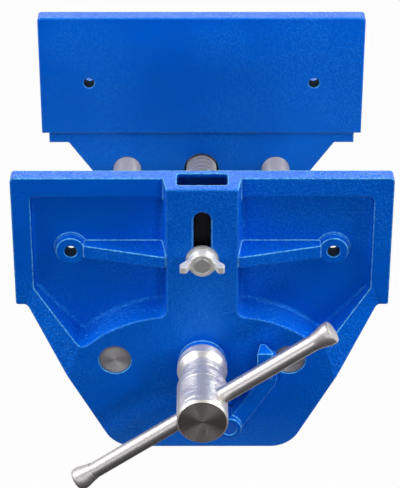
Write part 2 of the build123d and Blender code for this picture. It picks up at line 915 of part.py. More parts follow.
def release_bar():
    """The square bar that turns the half nut, with round ends in the front jaw and the tie plate."""
    square_front = ahead(bar_boss_depth) + spring_space
    square_back = tie_front_y - bar_shoulder_gap
    tail_end = tie_back_y + clip_gap + clip_thickness + bar_tail_overhang
    front_end = ahead(lever_boss_depth - bar_end_set_back)
    half = bar_side / 2
    bar = block(
        (bar_offset_x - half, bar_offset_x + half),
        (square_front, square_back),
        (-bar_drop - half, -bar_drop + half),
    )
    bar += shaft(bar_offset_x, -bar_drop, bar_journal_radius, front_end, square_front)
    bar += shaft(bar_offset_x, -bar_drop, bar_tail_radius, square_back, tail_end)
    return bar - lever_pin()


def lever_pin():
    middle = ahead(lever_back_depth + lever_arm_back + lever_arm_thickness / 2)
    return cross_pin(bar_offset_x, middle, -bar_drop, 2 * (bar_journal_radius + lever_boss_wall - pin_inset))


def bar_clip():
    """The clip that keeps the release bar in the tie plate."""
    front = tie_back_y + clip_gap
    outer = bar_tail_radius + clip_reach
    clip = ring(bar_offset_x, -bar_drop, outer, bar_tail_radius, front, front + clip_thickness)
    half_mouth = bar_tail_radius - clip_mouth_inset
    mouth = block(
        (bar_offset_x - half_mouth, bar_offset_x + half_mouth),
        (front - overrun, front + overrun),
        (-bar_drop - 2 * outer, -bar_drop),
    )
    return clip - mouth


def release_lever():
    """The cast lever: a boss on the bar, a bent arm up the right-hand side and a thumb tab."""
    boss_radius = bar_journal_radius + lever_boss_wall
    boss = shaft(bar_offset_x, -bar_drop, boss_radius, ahead(lever_boss_depth), ahead(lever_back_depth))
    lever = boss + lever_arm() + thumb_tab()
    bore_back = ahead(lever_back_depth) + overrun
    lever -= shaft(bar_offset_x, -bar_drop, bar_journal_radius, ahead(lever_boss_depth + overrun), bore_back)
    return lever - lever_pin()


def lever_arm():
    """The bent arm, of even width along its path."""
    path = [(bar_offset_x + x, -bar_drop + z) for x, z in (lever_start, lever_elbow, lever_tip)]
    outline = make_face(offset(FilletPolyline(*path, radius=lever_bend), lever_arm_width / 2, side=Side.BOTH))
    back = ahead(lever_back_depth + lever_arm_back)
    arm = slab(outline, back - lever_arm_thickness, back)
    return fillet(edges_at(arm, back - lever_arm_thickness), casting_edge)


def thumb_tab():
    """The tab at the arm's tip, drawn from above: narrow at the back, broad and bevelled in front."""
    x = bar_offset_x + lever_tip[0] - tab_inset
    front_left = x + tab_skew - tab_front_width / 2
    front_right = x + tab_skew + tab_front_width / 2
    back = ahead(lever_back_depth + lever_arm_back)
    front = back - tab_length
    outline = make_face(
        Polyline(
            (x - tab_rear_width / 2, back),
            (x + tab_rear_width / 2, back),
            (front_right, front + tab_bevel),
            (front_right - tab_bevel, front),
            (front_left, front),
            close=True,
        )
    )
    top = -bar_drop + lever_tip[1] + tab_over_tip
    return extrude(seen_from_above(top - tab_height) * outline, amount=tab_height)


def lever_spring():
    """The torsion spring that turns the release bar back."""
    start = ahead(bar_boss_depth) + spring_gap + spring_wire / 2
    coil = Helix(spring_pitch, spring_turns * spring_pitch, bar_journal_radius + spring_reach)
    section = Plane(coil @ 0, z_dir=coil % 0) * RegularPolygon(spring_wire / 2, spring_wire_sides)
    wire = sweep(section, path=coil, is_frenet=True)
    return Pos(bar_offset_x, start, -bar_drop) * Rotation(-90, 0, 0) * wire


def half_nut():
    """The half nut: a saddle under the screw on an arm from its hub on the square bar."""
    nut_radius = nut_bore_radius + nut_wall
    reach = 3 * nut_radius
    wedge_corners = [(0, -rod_drop)]
    for angle in (-nut_half_angle, 0, nut_half_angle):
        turn = radians(nut_middle_angle + angle)
        wedge_corners.append((reach * cos(turn), -rod_drop + reach * sin(turn)))
    saddle = Pos(0, -rod_drop) * Circle(nut_radius)
    saddle &= make_face(Polyline(*wedge_corners, close=True))

    knee_reach = nut_bore_radius + nut_wall / 2
    knee_turn = radians(nut_knee_angle)
    knee = Pos(knee_reach * cos(knee_turn), -rod_drop + knee_reach * sin(knee_turn)) * Circle(nut_knee_radius)
    hub = Pos(bar_offset_x, -bar_drop) * Circle(nut_journal_radius + nut_hub_wall)
    body = slab(saddle + make_hull(hub.edges() + knee.edges()), nut_front_y, nut_back_y)
    body -= shaft(0, -rod_drop, nut_bore_radius, nut_front_y - overrun, nut_back_y + overrun)

    journal_front = wall_front_y + nut_journal_inset
    journal_back = web_front_y + web_thickness - nut_journal_inset
    body += shaft(bar_offset_x, -bar_drop, nut_journal_radius, journal_front, journal_back)
    half = bar_side / 2 + free_clearance
    return body - block(
        (bar_offset_x - half, bar_offset_x + half),
        (journal_front - overrun, journal_back + overrun),
        (-bar_drop - half, -bar_drop + half),
    )


def bench_dog():
    top = rear_jaw_height - dog_drop
    back_depth = pocket_back_wall + dog_clearance
    dog = block(
        (-dog_width / 2, dog_width / 2),
        (ahead(back_depth + dog_thickness), ahead(back_depth)),
        (top - dog_length, top),
    )
    return chamfer(dog.edges().filter_by(Axis.Z), dog_chamfer) - dog_stud()


def dog_stud():
    """The stud in the dog, through the slot and the wing nut."""
    front = ahead(front_depth + washer_thickness + wing_nut_height)
    back = ahead(pocket_back_wall + dog_clearance + stud_cover)
    radius = stud_diameter / 2
    profile = [
        (front, 0),
        (front, radius - stud_chamfer),
        (front + stud_chamfer, radius),
        (back, radius),
        (back, 0),
    ]
    return turned(profile, 0, stud_z)


def clamp_washer():
    radius = stud_diameter / 2
    back = ahead(front_depth)
    return ring(0, stud_z, radius + washer_reach, radius + running_clearance, back - washer_thickness, back)


def wing_nut():
    """A wing nut: a low cone with two ears that flare outward and forward."""
    bore = stud_diameter / 2 + running_clearance
    base_radius = stud_diameter / 2 + wing_nut_base_wall
    top_radius = stud_diameter / 2 + wing_nut_top_wall
    back = ahead(front_depth + washer_thickness)
    front = back - wing_nut_height
    profile = [
        (back, 0),
        (back, base_radius),
        (back - wing_nut_foot, base_radius),
        (front, top_radius),
        (front, 0),
    ]
    nut = turned(profile, 0, stud_z)
    tip_x = wing_span / 2
    tip_y = front - wing_rise
    ear = make_face(
        Polyline(
            (bore, back - wing_nut_foot),
            (base_radius, back - wing_nut_foot),
            (tip_x, tip_y + wing_tip),
            (tip_x, tip_y),
            (tip_x - wing_tip, tip_y),
            (top_radius, front),
            (bore, front),
            close=True,
        )
    )
    tip_corners = ear.vertices().filter_by_position(Axis.X, tip_x - wing_tip - 0.1, tip_x + 0.1)
    ear = fillet(tip_corners, 0.35 * wing_tip)
    right_ear = extrude(seen_from_above(stud_z) * ear, amount=wing_thickness / 2, both=True)
    for side in both_sides(right_ear):
        nut += side
    return nut - shaft(0, stud_z, bore, front - 2 * wing_rise, back + overrun)


pieces = {
    "rear_jaw_casting": rear_jaw_casting(),
    "front_jaw_casting": front_jaw_casting(),
    "slide_rod_left": slide_rod(-1),
    "slide_rod_right": slide_rod(1),
    "rod_lock_pins": [lock_pin(-1), lock_pin(1)],
    "tie_plate": tie_plate(),
    "tie_plate_washers": tie_plate_washers(),
    "tie_plate_nuts": tie_plate_nuts(),
    "screw_bush": screw_bush(),
    "main_screw": main_screw(),
    "screw_head": screw_head(),
    "head_pin": head_pin(),
    "thrust_washer": thrust_washer(),
    "retaining_collar": retaining_collar(),
    "collar_pin": collar_pin(),
    "end_collar": end_collar(),
    "end_pin": end_pin(),
    "handle_bar": handle_bar(),
    "handle_cap_left": handle_cap(-1),
    "handle_cap_right": handle_cap(1),
    "release_lever": release_lever(),
    "release_bar": release_bar(),
    "lever_pin": lever_pin(),
    "bar_clip": bar_clip(),
    "lever_spring": lever_spring(),
    "half_nut": half_nut(),
    "bench_dog": bench_dog(),
    "dog_stud": dog_stud(),
    "clamp_washer": clamp_washer(),
    "wing_nut": wing_nut(),
}

os.makedirs("parts", exist_ok=True)
for name, piece in pieces.items():
    shape = Compound(children=piece) if isinstance(piece, list) else piece
    shape.label = name
    export_step(shape, f"parts/{name}.step")
    print(name, round(shape.volume), "cubic mm")
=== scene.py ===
# %% [markdown]
# Woodworking vise. Two painted iron jaws, two guide rods, a screw with its head and sliding
# handle, and a quick-release lever. The castings, rods and collars already exist as solids in
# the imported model, so this lesson mostly gives them their finishes. It then makes what a solid
# leaves out: the screw's thread, the teeth of the half nut, and the softened edges of the
# small pieces.

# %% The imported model
import json
from math import atan2, ceil, cos, degrees, floor, pi, radians, sin

import bmesh
import bpy
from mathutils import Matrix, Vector


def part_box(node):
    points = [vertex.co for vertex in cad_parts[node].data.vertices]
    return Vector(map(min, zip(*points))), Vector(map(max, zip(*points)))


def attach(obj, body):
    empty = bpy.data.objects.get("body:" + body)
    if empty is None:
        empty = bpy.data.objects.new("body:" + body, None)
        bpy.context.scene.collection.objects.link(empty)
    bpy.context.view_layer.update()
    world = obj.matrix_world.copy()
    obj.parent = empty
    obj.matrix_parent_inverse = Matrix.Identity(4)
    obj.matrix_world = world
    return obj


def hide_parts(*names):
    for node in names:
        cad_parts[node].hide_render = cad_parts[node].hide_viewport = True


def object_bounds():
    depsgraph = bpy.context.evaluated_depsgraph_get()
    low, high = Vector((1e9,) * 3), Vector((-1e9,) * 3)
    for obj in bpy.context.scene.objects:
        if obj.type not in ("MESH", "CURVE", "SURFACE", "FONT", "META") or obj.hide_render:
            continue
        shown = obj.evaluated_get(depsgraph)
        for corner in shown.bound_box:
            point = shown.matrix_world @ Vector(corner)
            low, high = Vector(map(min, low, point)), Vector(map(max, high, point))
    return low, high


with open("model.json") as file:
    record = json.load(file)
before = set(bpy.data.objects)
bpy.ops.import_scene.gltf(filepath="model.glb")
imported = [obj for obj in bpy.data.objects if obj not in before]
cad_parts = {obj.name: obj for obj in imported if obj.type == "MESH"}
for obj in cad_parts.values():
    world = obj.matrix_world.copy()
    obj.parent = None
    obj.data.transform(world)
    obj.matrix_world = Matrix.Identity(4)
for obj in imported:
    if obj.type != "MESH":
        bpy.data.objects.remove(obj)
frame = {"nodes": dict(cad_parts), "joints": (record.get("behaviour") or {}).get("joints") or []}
cad_low, cad_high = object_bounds()


def put_in_scene(name, data):
    """A new object at the origin that shows a mesh, a lamp or a camera."""
    made = bpy.data.objects.new(name, data)
    bpy.context.scene.collection.objects.link(made)
    return made


# %% [markdown]
# The camera stands 1.5 m from the middle of the seat and looks down at the vise by 30 degrees,
# as a catalogue picture is taken: a long lens keeps the two jaws nearly parallel. Its place was
# worked out from the straight edges of both jaws, so here it is only written down.

# %% The camera
eye = Vector((-0.0024, -1.3672, 0.6526))
look_down = radians(30.08)
look_aside = radians(0.06)
camera_data = bpy.data.cameras.new("camera")
camera_data.lens = 147.3
camera_data.sensor_width = 36.0
camera_data.clip_end = 20.0
camera = put_in_scene("camera", camera_data)
camera.rotation_euler = (pi / 2 - look_down, 0, -look_aside)
camera.location = eye
bpy.context.scene.camera = camera
bpy.context.scene.view_settings.view_transform = "Standard"
print("camera distance to the origin:", round(eye.length, 3), "m")

# %% [markdown]
# The nodes of a material could be set and linked one by one, but then nobody could read the
# sum that they work out. So maths is written as plain expressions: Number wraps a socket that
# carries one number, and each operator adds the Math node that works it out. Tree is a node
# tree while it is drawn, and its method node makes any node: settings first, then values or
# links. Finish is a tree that becomes a material.


# %% Numbers and trees
class Number:
    """One number in a node tree. The operators add Math nodes to it."""

    def __init__(self, tree, socket):
        self.tree = tree
        self.socket = socket

    def _math(self, operation, *values):
        sockets = dict(enumerate(values))
        made = self.tree.node("ShaderNodeMath", {"operation": operation}, sockets)
        return Number(self.tree, made.outputs[0])

    def __add__(self, other):
        return self._math("ADD", self, other)

    def __sub__(self, other):
        return self._math("SUBTRACT", self, other)

    def __rsub__(self, other):
        return self._math("SUBTRACT", other, self)

    def __mul__(self, other):
        return self._math("MULTIPLY", self, other)

    def __pow__(self, other):
        return self._math("POWER", self, other)

    __radd__ = __add__
    __rmul__ = __mul__

    def sine(self):
        return self._math("SINE", self)

    def size(self):
        """The number without its sign."""
        return self._math("ABSOLUTE", self)

    def angle(self, other):
        """The angle whose tangent is this number divided by the other."""
        return self._math("ARCTAN2", self, other)

    def reach(self, other):
        """How far a place is from an axis that is this far aside and the other above."""
        return (self * self + other * other) ** 0.5

    def between(self, low, high):
        """0 at low, 1 at high, with a smooth step in between."""
        made = self.tree.node(
            "ShaderNodeMapRange",
            {"interpolation_type": "SMOOTHSTEP"},
            {"Value": self, "From Min": low, "From Max": high},
        )
        return Number(self.tree, made.outputs["Result"])


class Tree:
    """A node tree while it is drawn. The method node makes any node of it."""

    def __init__(self, tree):
        self.tree = tree
        self.tree.nodes.clear()

    def node(self, kind, settings=None, sockets=None):
        """Makes a node, sets its settings, then feeds its sockets with values or links."""
        made = self.tree.nodes.new(kind)
        for name, value in (settings or {}).items():
            setattr(made, name, value)
        for name, value in (sockets or {}).items():
            socket = self._socket(made, name)
            if isinstance(value, Number):
                value = value.socket
            if isinstance(value, bpy.types.NodeSocket):
                self.tree.links.new(value, socket)
            else:
                socket.default_value = value
        return made

    def _socket(self, node, name):
        for socket in node.inputs:
            if socket.identifier == name:
                return socket
        return node.inputs[name]

    def parts(self, vector):
        """The three numbers of a vector."""
        made = self.node("ShaderNodeSeparateXYZ", {}, {"Vector": vector})
        return [Number(self, socket) for socket in made.outputs]


# %% Finishes and colours
class Finish(Tree):
    """A material while it is drawn."""

    def __init__(self, name):
        self.material = bpy.data.materials.new(name)
        self.material.use_nodes = True
        super().__init__(self.material.node_tree)
        places = self.node("ShaderNodeTexCoord")
        self.coordinates = places.outputs["Object"]
        self.normals = places.outputs["Normal"]

    def noise(self, scale, detail=2.0, vector=None):
        """Cloudy noise, about 0.5 on average. scale is in patches for each metre."""
        made = self.node(
            "ShaderNodeTexNoise",
            {},
            {"Vector": vector or self.coordinates, "Scale": scale, "Detail": detail},
        )
        return Number(self, made.outputs["Fac"])

    def stretched(self, scales, turn=(0, 0, 0)):
        """The object's coordinates, turned and then stretched."""
        turned = self.node("ShaderNodeMapping", {}, {"Vector": self.coordinates, "Rotation": turn})
        made = self.node("ShaderNodeMapping", {}, {"Vector": turned.outputs[0], "Scale": scales})
        return made.outputs[0]

    def blend(self, factor, first, second):
        """A colour between first and second."""
        sockets = {"Factor_Float": factor, "A_Color": first, "B_Color": second}
        made = self.node("ShaderNodeMix", {"data_type": "RGBA"}, sockets)
        return made.outputs[2]

    def relief(self, height, depth, below=None):
        """Bumps as deep as depth, in metres, on the surface or on other bumps."""
        sockets = {"Height": height, "Distance": depth, "Strength": 1.0}
        if below is not None:
            sockets["Normal"] = below
        return self.node("ShaderNodeBump", {}, sockets).outputs[0]

    def surface(self, **values):
        """Ends the material in one Principled shader. Its sockets are given by name."""
        sockets = {name.replace("_", " "): value for name, value in values.items()}
        shader = self.node("ShaderNodeBsdfPrincipled", {}, sockets)
        self.node("ShaderNodeOutputMaterial", {}, {"Surface": shader.outputs[0]})
        print(self.material.name, "has", len(self.tree.nodes), "nodes")
        return self.material


def colour(red, green, blue, darker=1.0):
    """A colour as it is written for the screen, 0 to 255, as the renderer wants it."""
    linear = []
    for value in (red, green, blue):
        share = darker * value / 255
        linear.append(share / 12.92 if share <= 0.04045 else ((share + 0.055) / 1.055) ** 2.4)
    return (*linear, 1.0)


# %% [markdown]
# The castings are painted in one glossy blue enamel. Close up, sprayed enamel rounds every
# edge and varies from place to place in tone and gloss. Rounding all the edges in the mesh
# would need thousands of faces, so a Bevel node rounds them in the shading only. Where its
# normal leaves the flat one, there is an edge, and the edges that face up get a painted
# highlight, light cyan and beaded.

# %% The blue of the enamel
edge_radius = 0.0014
peel_grain = 620
enamel = Finish("blue_enamel")
rounded = enamel.node("ShaderNodeBevel", {"samples": 8}, {"Radius": edge_radius}).outputs[0]
flat = enamel.node("ShaderNodeNewGeometry").outputs["Normal"]
likeness = enamel.node(
    "ShaderNodeVectorMath", {"operation": "DOT_PRODUCT"}, {"Vector": rounded, "Vector_001": flat}
)
bent = 1 - Number(enamel, likeness.outputs["Value"])
_, _, upward = enamel.parts(rounded)
_, forward, _ = enamel.parts(flat)
# Painted highlight: the edges that face up are painted light cyan.
painted_edge_highlight = bent.between(0.004, 0.07) * upward.between(-0.35, 0.15)
cloud = enamel.noise(16, 3)
speck = enamel.noise(700, 2)
paint = enamel.blend(cloud * 0.7 + speck * 0.3, colour(0, 86, 204), colour(0, 104, 230))
patches = enamel.noise(11, 2).between(0.42, 0.6)
orange_peel = enamel.noise(peel_grain, 1)
# Painted glints: the crests of the orange peel are painted lighter blue, in patches.
painted_peel_glints = orange_peel.between(0.44, 0.62)
paint = enamel.blend(0.16 * patches * painted_peel_glints, paint, colour(40, 150, 255))
# The painted highlight on the upward edges is broken into beads.
painted_highlight_beads = enamel.noise(520, 1).between(0.3, 0.62)
paint = enamel.blend(painted_edge_highlight * (0.4 + 0.6 * painted_highlight_beads), paint, colour(120, 212, 255))
print("the paint rounds an edge by", edge_radius * 1000, "mm")

# %% [markdown]
# The paint follows the slow waves of the sand casting and dries in an orange peel, which is
# coarser on sloping faces and in patches. On top lies a fine grit. Real relief this small would
# need millions of faces, so three Bump nodes lie one on the other, on the rounded surface.

# %% The relief of the enamel
wave_depth = 0.0008
peel_depth = 0.0009
grit_depth = 0.0001
waves = enamel.relief(enamel.noise(60, 1), wave_depth, rounded)
sloping = 1 - forward.size().between(0.9, 0.99)
texture = 0.3 + 0.45 * sloping + 0.35 * patches
peel = enamel.relief(texture * orange_peel, peel_depth, waves)
grit = enamel.relief(enamel.noise(1300, 2), grit_depth, peel)
print("orange peel as deep as", peel_depth * 1000, "mm, on waves of", wave_depth * 1000, "mm")

# %% [markdown]
# The holes for the wooden facings are drilled after painting, so their walls are bare iron,
# painted near black as painted shade inside the holes. The walls of the bench dog's pocket get
# painted shade, a dark navy. Two more materials would need faces of their own, so both places
# are found from the object's coordinates instead, which move with the piece.

# %% Bare bores with painted shade, and painted shade in the pocket
facing_hole_x = 0.08
facing_hole_z = 0.04
facing_hole_radius = 0.0035
bare_until = facing_hole_radius + 0.0001
painted_from = facing_hole_radius + 0.0005
pocket_half_width = 0.0153
pocket_back_y = -0.3114
pocket_front_y = -0.3263
wall_blur = 0.0001
jaw_top_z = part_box("front_jaw_casting")[1].z
x, y, z = enamel.parts(enamel.coordinates)
from_middle = x.size()
from_hole = (from_middle - facing_hole_x).reach(z - facing_hole_z)
# The bores are bare iron, painted near black as painted shade inside the holes.
bare_shaded_bore = 1 - from_hole.between(bare_until, painted_from)
behind_front = (y - pocket_front_y).between(0, wall_blur)
ahead_of_back = (pocket_back_y - y).between(0, wall_blur)
within_sides = (pocket_half_width - from_middle).between(0, wall_blur)
below_mouth = (jaw_top_z - z).between(0.0002, 0.004)
# Painted shade: the pocket's walls below its mouth are painted dark navy.
painted_pocket_shade = ahead_of_back * behind_front * within_sides * below_mouth
paint = enamel.blend(0.85 * painted_pocket_shade, paint, colour(0, 30, 92))
enamel_blue = enamel.surface(
    Base_Color=enamel.blend(bare_shaded_bore, paint, colour(14, 18, 28)),
    Roughness=(0.13 + 0.12 * enamel.noise(90, 3)) * (1 - bare_shaded_bore) + 0.9 * bare_shaded_bore,
    Specular_IOR_Level=0.8,
    Specular_Tint=colour(70, 190, 255),
    Normal=grit,
)

# %% [markdown]
# Turned steel has rings round its axis, left by the tool. They are half a millimetre apart and
# spread each reflection along the piece, which is why a turned bar shows long soft bands. The
# rings are noise that is squeezed hard along the axis, so one recipe serves the rods, the head
# and the handle, each with its own direction. A faced end is another surface: duller, with
# grooves round its middle, 0.7 mm apart, which are a sine of the distance from the middle. On
# it two bright fans are a painted highlight, as a faced disc shows under a lamp: they are a
# sine of the angle round the middle.

# %% Turned steel
groove_radians_per_metre = 9000
fan_angle = 0.9


def faced_end(steel, tone, painted_fans, middle):
    """Where a faced end lies, its tone with painted fans, and the grooves round its middle."""
    _, facing, _ = steel.parts(steel.normals)
    faced = (facing * facing).between(0.6, 0.95)
    x, _, z = steel.parts(steel.coordinates)
    aside = x.size() - middle[0]
    above = z - middle[1]
    # Painted highlight: two bright fans round the middle of the faced end.
    painted_fan = (2 * aside.angle(above) + fan_angle).sine()
    grooves = (aside.reach(above) * groove_radians_per_metre).sine()
    light = 0.5 + painted_fans * painted_fan + 0.12 * grooves
    return faced, steel.blend(light, colour(*tone, darker=0.72), colour(*tone)), grooves


def turned_steel(name, tone, scales, depth, gloss, metal, turn=(0, 0, 0), ends=None):
    """Bright steel with rings across its axis. ends says how its faced ends look."""
    steel = Finish(name)
    rings = steel.noise(1.0, 1, steel.stretched(scales, turn))
    stain = steel.noise(30, 3)
    base = steel.blend(0.5 * rings + 0.5 * stain, colour(*tone, darker=0.87), colour(*tone))
    rough = gloss + 0.08 * rings + 0.06 * stain
    height = rings
    if ends:
        faced, end_tone, grooves = faced_end(steel, **ends)
        base = steel.blend(faced, base, end_tone)
        rough = rough + 0.2 * faced
        height = rings * (1 - faced) + grooves * faced * 0.5
    relief = steel.relief(height, depth)
    return steel.surface(Base_Color=base, Metallic=metal, Roughness=rough, Normal=relief)


# %% Rods, head, collars and handle
handle_axis = next(joint for joint in frame["joints"] if joint["name"] == "handle_slide")["axis"]
handle_angle = atan2(handle_axis[2], handle_axis[0])
rod_low, rod_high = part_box("slide_rod_right")
rod_x = (rod_low.x + rod_high.x) / 2
rod_z = (rod_low.z + rod_high.z) / 2
along_y = (40, 2000, 40)
# The ends are duller, and their darker tones, darkest on the head, are partly a painted dark
# reflection.
rod_ends = {"tone": (192, 189, 190), "painted_fans": 0.32, "middle": (rod_x, rod_z)}
head_end = {"tone": (136, 128, 128), "painted_fans": 0.08, "middle": (0, rod_z)}
collar_steel = turned_steel(
    "steel_turned", tone=(222, 217, 211), scales=along_y, depth=0.0003, gloss=0.3, metal=0.7
)
rod_steel = turned_steel(
    "steel_rods",
    tone=(212, 203, 193),
    scales=along_y,
    depth=0.0005,
    gloss=0.32,
    metal=0.5,
    ends=rod_ends,
)
head_steel = turned_steel(
    "steel_head",
    tone=(250, 244, 236),
    scales=along_y,
    depth=0.0005,
    gloss=0.26,
    metal=0.78,
    ends=head_end,
)
bar_steel = turned_steel(
    "steel_handle",
    tone=(208, 204, 205),
    scales=(2500, 40, 40),
    depth=0.00005,
    gloss=0.3,
    metal=0.85,
    turn=(0, handle_angle, 0),
)
cap_steel = turned_steel(
    "steel_caps",
    tone=(200, 196, 197),
    scales=(300, 300, 300),
    depth=0.00002,
    gloss=0.38,
    metal=0.8,
)
print("handle angle:", round(degrees(handle_angle), 2), "degrees")

# %% [markdown]
# The small steel pieces are plain: rolled or zinc plated, with no rings. The bench dog and the
# release bar are blackened, the half nut is raw grey iron and the bush is bronze. At this size
# only tone, gloss and grain tell such metals apart, so one recipe with an even noise serves
# them all. The release bar's front end was painted together with the lever, so its finish
# turns blue there.


# %% Plain metals
def plain_metal(name, tone, rough, grain, depth, metal=0.85, paint_ends=None):
    """A metal with an even grain. Ahead of paint_ends it wears the blue of the castings."""
    plain = Finish(name)
    mottle = plain.noise(grain, 3)
    base = plain.blend(mottle, colour(*tone, darker=0.8), colour(*tone))
    metallic = metal
    if paint_ends is not None:
        _, y, _ = plain.parts(plain.coordinates)
        coated = 1 - y.between(paint_ends - 0.0002, paint_ends)
        base = plain.blend(coated, base, colour(0, 97, 214))
        metallic = metal * (1 - coated)
    return plain.surface(
        Base_Color=base,
        Metallic=metallic,
        Roughness=rough + 0.15 * mottle,
        Normal=plain.relief(plain.noise(3 * grain, 2), depth),
    )


plated = {"grain": 160, "depth": 0.00002}
blackened = {"tone": (26, 26, 28), "rough": 0.35, "grain": 140, "depth": 0.00004, "metal": 0.6}
lever_back_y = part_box("release_lever")[1].y
zinc = plain_metal("steel_zinc", tone=(214, 213, 213), rough=0.25, metal=0.6, **plated)
nut_zinc = plain_metal("steel_nut", tone=(244, 242, 240), rough=0.22, metal=0.35, **plated)
black = plain_metal("steel_black", **blackened)
black_bar = plain_metal("steel_black_bar", paint_ends=lever_back_y, **blackened)
iron = plain_metal(
    "iron_cast", tone=(118, 116, 112), rough=0.5, grain=220, depth=0.00012, metal=0.8
)
bronze = plain_metal("bronze_bush", tone=(190, 142, 84), rough=0.3, grain=150, depth=0.00002)

# %% [markdown]
# Every solid gets its finish by the name of its node. Only its material slot is filled, because
# the solid's own mesh is never changed. What the list leaves out is a small zinc plated piece,
# or a solid that one of the pieces made further down stands for.

# %% Finishes on the solids
finish_of = {
    "rear_jaw_casting": enamel_blue,
    "front_jaw_casting": enamel_blue,
    "release_lever": enamel_blue,
    "slide_rod_left": rod_steel,
    "slide_rod_right": rod_steel,
    "screw_head": head_steel,
    "handle_bar": bar_steel,
    "handle_cap_left": cap_steel,
    "handle_cap_right": cap_steel,
    "retaining_collar": collar_steel,
    "end_collar": collar_steel,
    "bench_dog": black,
    "release_bar": black_bar,
    "lever_spring": black,
    "bar_clip": black,
    "half_nut": iron,
    "screw_bush": bronze,
}
for name, node in frame["nodes"].items():
    node.data.materials.clear()
    node.data.materials.append(finish_of.get(name, zinc))
print("finished solids:", len(frame["nodes"]), "by name:", len(finish_of))

# %% [markdown]
# The core of the screw is a turned piece, so its surface is one outline that goes round an
# axis. It could be a spun curve, but a few lines of mesh code give closed ends and faces that
# point outward, and the outline stays readable as pairs of place and radius. Two more helpers
# serve every piece made here. One turns an object with modifiers into a plain mesh. The other
# puts meshes together as one piece: it rides on a body, stands for a solid and wears its
# finish.

# %% Turned pieces
sharp_from = radians(32)


def turned_mesh(name, outline, axis_z, steps=72):
    """A closed piece along Y. outline lists (y, radius) from front to back."""
    shape = bmesh.new()
    rings = []
    for y, radius in outline:
        if radius == 0:
            rings.append([shape.verts.new((0, y, axis_z))])
            continue
        turns = [2 * pi * step / steps for step in range(steps)]
        places = [(radius * cos(turn), y, axis_z + radius * sin(turn)) for turn in turns]
        rings.append([shape.verts.new(place) for place in places])
    for near, far in zip(rings, rings[1:]):
        for step in range(steps):
            after = (step + 1) % steps
            if len(near) == 1:
                shape.faces.new((near[0], far[step], far[after]))
            elif len(far) == 1:
                shape.faces.new((near[step], far[0], near[after]))
            else:
                shape.faces.new((near[step], far[step], far[after], near[after]))
    bmesh.ops.recalc_face_normals(shape, faces=shape.faces)
    mesh = bpy.data.meshes.new(name)
    shape.to_mesh(mesh)
    shape.free()
    return mesh


def joined(name, meshes, body, node, finish):
    """Puts meshes together as one piece that stands for a node of the frame."""
    shape = bmesh.new()
    for mesh in meshes:
        shape.from_mesh(mesh)
    whole = bpy.data.meshes.new(name)
    shape.to_mesh(whole)
    shape.free()
    whole.materials.clear()
    whole.materials.append(finish)
    whole.polygons.foreach_set("material_index", [0] * len(whole.polygons))
    whole.shade_smooth()
    whole.set_sharp_from_angle(angle=sharp_from)
    piece = put_in_scene(name, whole)
    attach(piece, body)
    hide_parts(node)
    print(name, "has", len(whole.polygons), "faces")


def with_modifiers(holder):
    """The mesh that an object's modifiers make. The object itself is taken away."""
    seen_by_renderer = holder.evaluated_get(bpy.context.evaluated_depsgraph_get())
    mesh = bpy.data.meshes.new_from_object(seen_by_renderer)
    holder.modifiers.clear()
    bpy.data.objects.remove(holder)
    return mesh


# %% [markdown]
# A thread is one ridge that winds round a core. Drawn by hand it would be thousands of points,
# so Geometry Nodes draw it: a spiral carries a small trapezoid, and the trapezoid shrinks to
# nothing at both ends, as a real thread runs out. The same tree makes the teeth of the half
# nut, which are short arcs of such a ridge, one behind the other. The tree's sizes are its
# inputs, so that both pieces share it.

# %% The inputs of the ridge
ridge_inputs = {
    "NodeSocketFloat": ("Radius", "Height", "Foot", "Crest", "Pitch", "Turns", "Run-out"),
    "NodeSocketInt": ("Steps", "Copies"),
    "NodeSocketVector": ("Start", "Turn"),
    "NodeSocketMaterial": ("Finish",),
}
ridge_group = bpy.data.node_groups.new("ridge", "GeometryNodeTree")
ridge_group.interface.new_socket("Geometry", in_out="OUTPUT", socket_type="NodeSocketGeometry")
ridge_sockets = {}
for kind, labels in ridge_inputs.items():
    for label in labels:
        socket = ridge_group.interface.new_socket(label, in_out="INPUT", socket_type=kind)
        ridge_sockets[label] = socket.identifier
print("inputs of the ridge:", ", ".join(ridge_sockets))

# %% The tree of the ridge
ridge = Tree(ridge_group)
given = {socket.name: socket for socket in ridge.node("NodeGroupInput").outputs}
turns = Number(ridge, given["Turns"])
pitch = Number(ridge, given["Pitch"])
height = Number(ridge, given["Height"])
run_out = Number(ridge, given["Run-out"])
spiral = ridge.node(
    "GeometryNodeCurveSpiral",
    {},
    {
        "Resolution": given["Steps"],
        "Rotations": turns,
        "Start Radius": given["Radius"],
        "End Radius": given["Radius"],
        "Height": turns * pitch,
        "Reverse": True,
    },
)
upright = ridge.node("GeometryNodeSetCurveNormal", {"mode": "Z_UP"}, {"Curve": spiral.outputs[0]})
widths = {"Bottom Width": given["Foot"], "Top Width": given["Crest"], "Offset": 0.0}
trapezoid = ridge.node(
    "GeometryNodeCurvePrimitiveQuadrilateral", {"mode": "TRAPEZOID"}, {"Height": height, **widths}
)
lift = ridge.node("ShaderNodeCombineXYZ", {}, {"X": 0.5 * height}).outputs[0]
lying = ridge.node(
    "GeometryNodeTransform",
    {},
    {"Geometry": trapezoid.outputs[0], "Rotation": (0, 0, -pi / 2), "Translation": lift},
)
along = Number(ridge, ridge.node("GeometryNodeSplineParameter").outputs["Factor"])
grown = (along * turns).between(0, run_out) * ((1 - along) * turns).between(0, run_out)
swept = ridge.node(
    "GeometryNodeCurveToMesh",
    {},
    {
        "Curve": upright.outputs[0],
        "Profile Curve": lying.outputs[0],
        "Scale": grown,
        "Fill Caps": True,
    },
)

